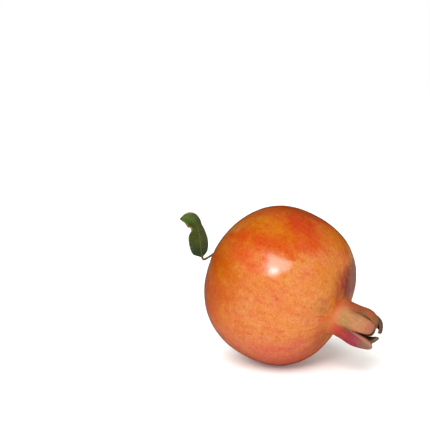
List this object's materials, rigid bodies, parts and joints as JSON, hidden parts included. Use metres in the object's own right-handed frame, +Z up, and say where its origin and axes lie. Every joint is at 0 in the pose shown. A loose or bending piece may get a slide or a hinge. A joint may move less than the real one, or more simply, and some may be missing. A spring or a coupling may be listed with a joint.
{
  "type": "pomegranate",
  "caption": "Whole ripe pomegranate lying on its side, with a pointed calyx crown around dried stamens, a cut stem stub and one narrow leaf",
  "frame": {"origin": "the middle of the small flat spot that the fruit rests on, at floor level", "axes": "+X is the way the crown points along the ground and the longest extent, +Z is up, and +Y completes the right-handed frame"},
  "size_m": [0.1114, 0.0835, 0.0848],
  "materials": {
    "rind": "smooth waxy rind with a soft gloss, orange to crimson",
    "dried_stamen": "matt, dry and fibrous",
    "dry_stem": "matt, dry, pale brown",
    "leaf": "thin green blade with a low sheen"
  },
  "bodies": {
    "root": {"fruit": "rind", "stamens": "dried_stamen", "stem": "dry_stem", "leaf": "leaf"}
  },
  "joints": []
}
